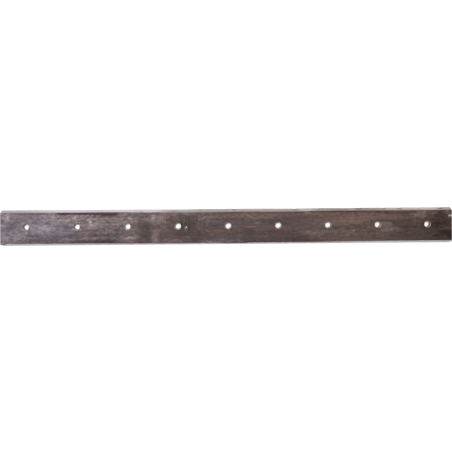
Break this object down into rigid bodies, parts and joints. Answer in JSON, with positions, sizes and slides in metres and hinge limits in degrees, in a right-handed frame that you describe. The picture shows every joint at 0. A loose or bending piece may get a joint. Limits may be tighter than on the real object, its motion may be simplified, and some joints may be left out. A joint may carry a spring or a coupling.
{
  "type": "shear bar",
  "caption": "Long flat used steel bar, bevelled along its cutting edge, with bolt holes on its middle line; worn and chipped.",
  "frame": {"origin": "where the middle bolt hole's axis meets the back face", "axes": "+X along the bar, +Y to the bevelled cutting edge, +Z out of the front face"},
  "size_m": [0.9, 0.068, 0.01],
  "materials": {
    "worn_steel": "used bare steel, dull brown-grey with a lighter ground bevel"
  },
  "bodies": {
    "root": {"shear_bar": "worn_steel"}
  },
  "joints": []
}
